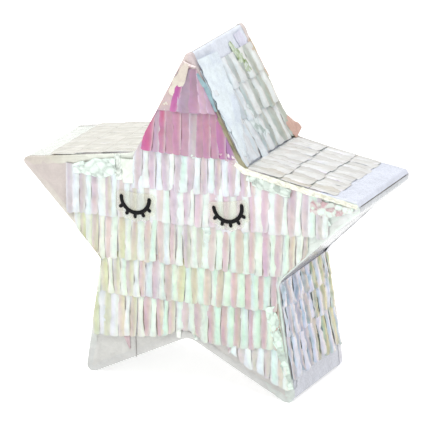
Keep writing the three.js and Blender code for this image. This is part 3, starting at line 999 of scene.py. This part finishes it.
def patch(film, face, path, widths, proud, depth, size, tints, columns=13, spacing=1.5):
    """A crumpled strip of film along a path of (across, down) points, with its half width at
    each. proud is one number or one for each, depth is how deep its creases are, size how far
    apart they are, and tints are the colour of its facets and the colour laid along its creases and
    on some facets. Where that second tint is a darker grey or grey-green it is painted shade in
    the creases; elsewhere it is a hue of the film."""
    proud = proud if isinstance(proud, tuple) else (proud,) * len(path)
    path = [np.array(p, float) for p in path]
    lengths = [0.0]
    for a, b in zip(path, path[1:]):
        lengths.append(lengths[-1] + np.linalg.norm(b - a))
    rows = max(5, round(lengths[-1] / spacing) + 1)
    light, dark = colour(tints[0]), colour(tints[1])
    seed = 20.0 + path[0][0]
    grid = []
    for i in range(rows):
        d = lengths[-1] * i / (rows - 1)
        k = max(0, min(len(path) - 2, int(np.searchsorted(lengths, d)) - 1))
        ahead = (path[k + 1] - path[k]) / np.linalg.norm(path[k + 1] - path[k])
        centre = path[k] + ahead * (d - lengths[k])
        sideways = np.array([-ahead[1], ahead[0]])
        width, lift = (float(np.interp(d, lengths, values)) for values in (widths, proud))
        line = []
        for j in range(columns):
            s = 2 * j / (columns - 1) - 1
            ragged = 1 + 0.25 * rough((d, s * 3, 0), 9, seed)
            across, down = centre + sideways * s * width * ragged
            fold, own, near = facet((across, 0, down), size, seed)
            height = lift - 0.9 * s**4 + depth * fold
            # Painted shade: along the creases, and on some facets, the colour turns to the second
            # tint.
            shade = min(1.0, 0.85 * ease(3 * own - 1.9) + 0.5 * near)
            line.append((face.at(across, down, max(1.6, height)), mix(light, dark, shade)))
        grid.append(line)
    film.grid(grid)


def crumples(name, face, patches):
    film = Film()
    for details in patches:
        patch(film, face, *details)
    place_sheet(film, name)


def trims():
    # In every crumple here and below, a darker grey or grey-green second tint is painted shade
    # along the creases.
    crumples("front_crumples", Face(-1), [
        # On the left arm: the crumpled band over the fringe, and the folds and plain strip by it.
        ([(-142, -66), (-116, -69), (-88, -74)], (6, 10, 10), 4.4, 1.3, 9,
         ("#eefdf5", "#b9c6be"), 17),
        ([(-87, -90), (-84, -60)], (4, 4), 4.2, 1.0, 5, ("#f2fbf4", "#a8b2aa")),
        ([(-75, -86), (-74, -58)], (8, 7), 4.2, 0.3, 14, ("#f2fbf0", "#e0ebe0")),
        # On the body: creases in the third and fifth rows.
        ([(6, -129), (7, -97)], (2.5, 5), 3.6, 0.9, 5, ("#e6f2ea", "#a9a4a6")),
        ([(22, -19), (27, 17)], (6, 4), 3.6, 0.8, 7, ("#ebfbf4", "#b9cac4")),
        ([(39, -108), (52, -104), (59, -100)], (4, 5, 4), 3.6, 0.8, 5, ("#f4e8ee", "#c07a98")),
        # On the right arm: the band above the fingers, the crumpled tip and the rolled edge.
        ([(72, -83), (92, -79), (126, -72)], (4, 6, 5), 4.3, 1.0, 7, ("#effcf4", "#b7c4bc")),
        ([(150, -62), (172, -60), (201, -64)], (9, 9, 2.5), 4.0, 0.9, 8,
         ("#e8fbf1", "#cfa9b0"), 17),
        ([(152, -40), (172, -48)], (9, 6), 2.6, 0.5, 8, ("#e9faf2", "#c9d8cf")),
        ([(58, -98), (70, -91), (140, -79), (206, -68)], (3, 3.4, 3.2, 2.2), 4.6, 0.7, 6,
         ("#fdfff2", "#e2e2cc")),
        # On the top point: a thin near-white fold at the pinched nub, painted as a highlight, and
        # the strips down its edges.
        ([(-5, -208), (3, -204), (10, -203)], (0.5, 1.5, 0.6), 3.6, 0.4, 5,
         ("#fff2f2", "#d9c0c2"), 9),
        ([(12, -196), (24, -178), (35, -155)], (1.2, 4, 1.5), 4.0, 0.3, 14,
         ("#98b8c0", "#86a6b2")),
        ([(37, -148), (54, -117), (69, -94)], (1.0, 1.8, 4.0), 3.8, 0.3, 14,
         ("#a09c80", "#838068")),
        ([(0, -206), (-10, -184), (-30, -150)], (3, 7, 4), (3.6, 4.2, 3.0), 0.3, 20,
         ("#e6e0d2", "#d9cfc4")),
        # On the legs: the strip down the right leg's outer edge, and torn ends on both.
        ([(101, 62), (110, 97), (127, 156)], (7, 6, 3.5), 4.6, 0.9, 8, ("#e6faee", "#bccbc2")),
        ([(-77, 124), (-73, 139)], (4, 0.8), 2.6, 0.3, 6, ("#d0bcc0", "#c8aab2")),
        # A thin grey strip along a crease on the left leg: painted shade.
        ([(-66, 124), (-65, 148)], (0.5, 0.4), 2.2, 0.1, 6, ("#b4b2b0", "#a8a6a4")),
        ([(-13, 92), (-12, 116)], (5, 2.5), 3.0, 0.5, 7, ("#f2f8f2", "#c9d4cb")),
        ([(2, 96), (11, 115)], (4, 3), 3.0, 0.5, 7, ("#eef8f2", "#c4d2c8")),
    ])
    # On the top point's right wall: olive creases, and film that lifts off the back edge.
    crumples("top_point_crumples", Wall("top", -1, True), [
        ([(20, 14), (26, 34), (36, 60)], (3, 7, 5), (2.4, 4.6, 4.2), 0.8, 6,
         ("#dbe8d6", "#8fa36c"), 15),
        ([(45, 8), (52, 60)], (9, 11), 1.4, 0.5, 14, ("#e4e4f6", "#c9cfe0")),
        ([(64, 22), (66, 70)], (4, 6), 2.2, 0.6, 8, ("#e0cdc6", "#b9ab72")),
        ([(60, 106), (72, 142)], (3, 12), (2.0, 7.0), 0.4, 15, ("#dab6a8", "#c9a198")),
        ([(-42, 14), (-45, 76), (-57, 132)], (25, 21, 4), 5.2, 0.35, 32,
         ("#eef9ff", "#dfe9f6"), 21, 2.5),
        ([(-10, 86), (6, 128)], (9, 12), 4.2, 0.9, 10, ("#eef8fa", "#b4c4c0"), 17),
    ])
    # On the right leg's outer wall: the crumpled corner by the toe.
    crumples("right_toe_crumples", Wall("right_leg", 1, False), [
        ([(-60, 98), (-54, 112), (-59, 127)], (5, 9, 4), 2.2, 0.9, 6, ("#d2d5df", "#94979f")),
    ])


# ---- Film under everything ----


def base_films():
    """The film on the front board and the walls, under the fringe and the wraps."""
    film = Film()
    outline = star_outline(-1.0, edge_steps=6)
    y, tint = -HALF_DEPTH - 0.45, colour("#dcd6d4")
    film.grid([[((x * part, y, z * part), tint) for x, z in outline]
               for part in (0.05, 0.35, 0.7, 1.0)], closed=True)
    place_sheet(film, "base_film_front")
    rows, columns = 25, 23
    depth = HALF_DEPTH + 0.3
    for point in POINT_AXES:
        for side, name in ((1, "anticlockwise"), (-1, "clockwise")):
            # The walls' film takes the wraps' wall tints, with their painted light.
            tint = colour(WRAP_TINTS[point][2 if side == 1 else 3])
            wall = Wall(point, side, True)
            film, grid = Film(), []
            for k in range(rows):
                down = mix(8, EDGE_LENGTH, k / (rows - 1))
                shade = tint * (1 + 0.04 * rough((k, columns - 1, 0), 5))
                line = []
                for j in range(columns):
                    y = depth * (2 * j / (columns - 1) - 1)
                    wave = 0.2 * rough((point == "top", y, down), 18)
                    line.append((wall.at(y, down, 0.45 + wave), shade))
                grid.append(line)
            film.grid(grid)
            place_sheet(film, f"base_film_{point}_{name}")


# ---- Eyes ----

EYE_RADIUS, EYE_STROKE, LASH_STROKE, LASH_REACH = 17.3, 4.6, 4.2, 24.0
LASH_ANGLES = (-147, -119, -91, -63, -36)
EYE_PROUD = 4.4
EYE_SAG = 0.25
FILM_MARGIN = 5.0  # how far the clear film reaches beyond the arc
INK_DOME = 0.45  # how far a stroke's middle stands above its edges
INK_SECTION = (-1, -0.92, -0.6, 0, 0.6, 0.92, 1)
ROUND_CAP = (0.97, 0.8, 0.45)
INK = np.array([0.01, 0.01, 0.01])


def stroke(film, path, width, proud, at):
    """A flat ribbon of ink with round ends and a domed top along a path of (x, z) points."""
    half = width / 2
    first = (path[0] - path[1]) / np.linalg.norm(path[0] - path[1])
    last = (path[-1] - path[-2]) / np.linalg.norm(path[-1] - path[-2])
    lines = [(path[0] + first * half * c, half * math.sqrt(1 - c * c)) for c in ROUND_CAP]
    lines += [(p, half) for p in path]
    lines += [(path[-1] + last * half * c, half * math.sqrt(1 - c * c)) for c in ROUND_CAP[::-1]]
    grid = []
    for k, (centre, reach) in enumerate(lines):
        before, after = lines[max(0, k - 1)][0], lines[min(len(lines) - 1, k + 1)][0]
        ahead = (after - before) / np.linalg.norm(after - before)
        sideways = np.array([-ahead[1], ahead[0]]) * reach
        row = [at(*(centre + sideways * s), proud + INK_DOME * math.sqrt(max(0.0, 1 - s**4)))
               for s in INK_SECTION]
        row += [at(*(centre + sideways * s), proud) for s in (0.6, 0, -0.6)]
        grid.append([(place, INK) for place in row])
    film.grid(grid, closed=True)
    end, count = len(film.points), len(grid[0])
    for start in (end - len(grid) * count, end - count):
        film.faces.append(tuple(range(start, start + count)))


def eye(side, x, z, turn):
    face = Face(-1)
    ahead, up = unit(turn), unit(turn + 90)

    def at(u, v, proud):
        px, pz = np.array([x, z]) + ahead * u + up * v
        sag = EYE_SAG * rough((px, 0, pz), 15, 2.0)
        return face.at(px, -pz, proud + sag)

    ink = Film()
    arc_steps, lash_steps = 32, 4
    arc = [unit(180 + 180 * k / arc_steps) * EYE_RADIUS for k in range(arc_steps + 1)]
    stroke(ink, arc, EYE_STROKE, EYE_PROUD + 0.35, at)
    tip = LASH_REACH - LASH_STROKE / 2
    for angle in LASH_ANGLES:
        lash = [unit(angle) * mix(EYE_RADIUS, tip, k / lash_steps) for k in range(lash_steps + 1)]
        stroke(ink, lash, LASH_STROKE, EYE_PROUD + 0.3, at)
    place(ink.mesh(f"eye_ink_{side}", BLACK_VINYL, 0), "shell", "black_vinyl",
          f"eye_lashes_{side}")

    # The film follows the eye, with a shallow dip between the lashes and a notched upper side.
    outline = []
    rim = EYE_RADIUS + EYE_STROKE / 2 + FILM_MARGIN
    round_steps, top_steps = 72, 13
    for k in range(round_steps + 1):
        angle = mix(172, 368, k / round_steps)
        nearest = min(abs((angle - 360) - a) for a in LASH_ANGLES)
        outline.append(unit(angle) * (rim + 4.2 * math.exp(-((nearest / 13) ** 2))))
    for k in range(1, top_steps):
        dip = 5.5 + 1.5 * abs(1 - 2 * k / top_steps)
        outline.append(np.array([mix(rim, -rim, k / top_steps), dip]))
    middle = np.array([0, -EYE_DROP])
    tint = colour("#f0f3e6")
    film = Film()
    film.grid([[(at(*(p * 0.9 + middle * 0.1), EYE_PROUD), tint) for p in outline],
               [(at(*p, EYE_PROUD - 0.4), tint) for p in outline]], closed=True)
    film.points.append(at(*middle, EYE_PROUD))
    film.tints.append(tint)
    centre, count = len(film.points) - 1, len(outline)
    film.faces += [(centre, (k + 1) % count, k) for k in range(count)]
    place(film.mesh(f"eye_clear_film_{side}", CLEAR_FILM, 0.15), "shell", "clear_film",
          f"eye_film_{side}")


# ---- Stage ----


def look_from(thing, azimuth, elevation, distance):
    """Puts a lamp or a camera where it looks at the star's centre. Angles are in degrees."""
    a, e = math.radians(azimuth), math.radians(elevation)
    back = Vector((math.sin(a) * math.cos(e), -math.cos(a) * math.cos(e), math.sin(e)))
    thing.location = Vector((0, 0, CENTRE_Z * MM)) + back * distance
    thing.rotation_euler = (-back).to_track_quat("-Z", "Y").to_euler()
    bpy.context.scene.collection.objects.link(thing)


def soft_box(name, azimuth, elevation, distance, size, power):
    light = bpy.data.lights.new(name, "AREA")
    light.shape = "RECTANGLE"
    light.size, light.size_y = size
    light.energy = power
    look_from(bpy.data.objects.new(name, light), azimuth, elevation, distance)


def stage():
    scene = bpy.context.scene
    world = bpy.data.worlds.new("studio")
    world.use_nodes = True
    set_inputs(world.node_tree.nodes["Background"],
               {"Color": (1.0, 0.985, 0.965, 1), "Strength": 0.56})
    scene.world = world

    floor = bpy.data.meshes.new("floor")
    reach = 20.0  # metres, past what the camera sees
    floor.from_pydata([(-reach, -reach, 0), (reach, -reach, 0), (reach, reach, 0),
                       (-reach, reach, 0)], [], [(0, 1, 2, 3)])
    paint, _, shader = new_material("floor_paint")
    set_inputs(shader, {"Base Color": (0.93, 0.93, 0.93, 1), "Roughness": 0.9,
                        "Specular IOR Level": 0.1, "Emission Color": (1, 1, 1, 1),
                        "Emission Strength": 0.46})
    floor.materials.append(paint)
    ground = bpy.data.objects.new("floor", floor)
    scene.collection.objects.link(ground)
    ground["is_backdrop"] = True

    soft_box("key", -30, 66, 2.2, (1.6, 1.2), 22)
    soft_box("fill", 75, 35, 2.4, (1.2, 1.6), 6)
    soft_box("rim", 180, 62, 2.4, (1.6, 0.8), 12)
    soft_box("side", -105, 50, 2.4, (1.2, 1.2), 8)

    # A long lens, a little to the right of the front and above it.
    lens_over_sensor = 10.777
    camera_data = bpy.data.cameras.new("camera")
    camera_data.sensor_width = 36
    camera_data.lens = 36 * lens_over_sensor
    camera_data.shift_y = 0.0183
    camera_data.clip_end = 100
    camera = bpy.data.objects.new("camera", camera_data)
    look_from(camera, 25.4, 18.36, 5.22)
    scene.camera = camera
    scene.view_settings.view_transform = "Standard"
    scene.view_settings.look = "None"


def boards():
    """The card boards keep their CAD shape."""
    for name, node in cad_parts.items():
        if name.startswith(("front_panel", "back_panel", "wall_", "fill_door")):
            for held in node.material_slots:
                held.material = CARD


stage()
boards()
front_fringe()
back_fringe()
door_fringe()
wall_fringe()
for point in POINT_AXES:
    wrap(point)
base_films()
edge_film(-1, "edge_film_front")
edge_film(1, "edge_film_back")
trims()
for side, (x, z, turn) in EYES.items():
    eye(side, x, z, turn)

bpy.context.view_layer.update()
boxes = {"cad": CAD_BOX, "visual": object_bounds()}
{name: [list(low), list(high)] for name, (low, high) in boxes.items()}
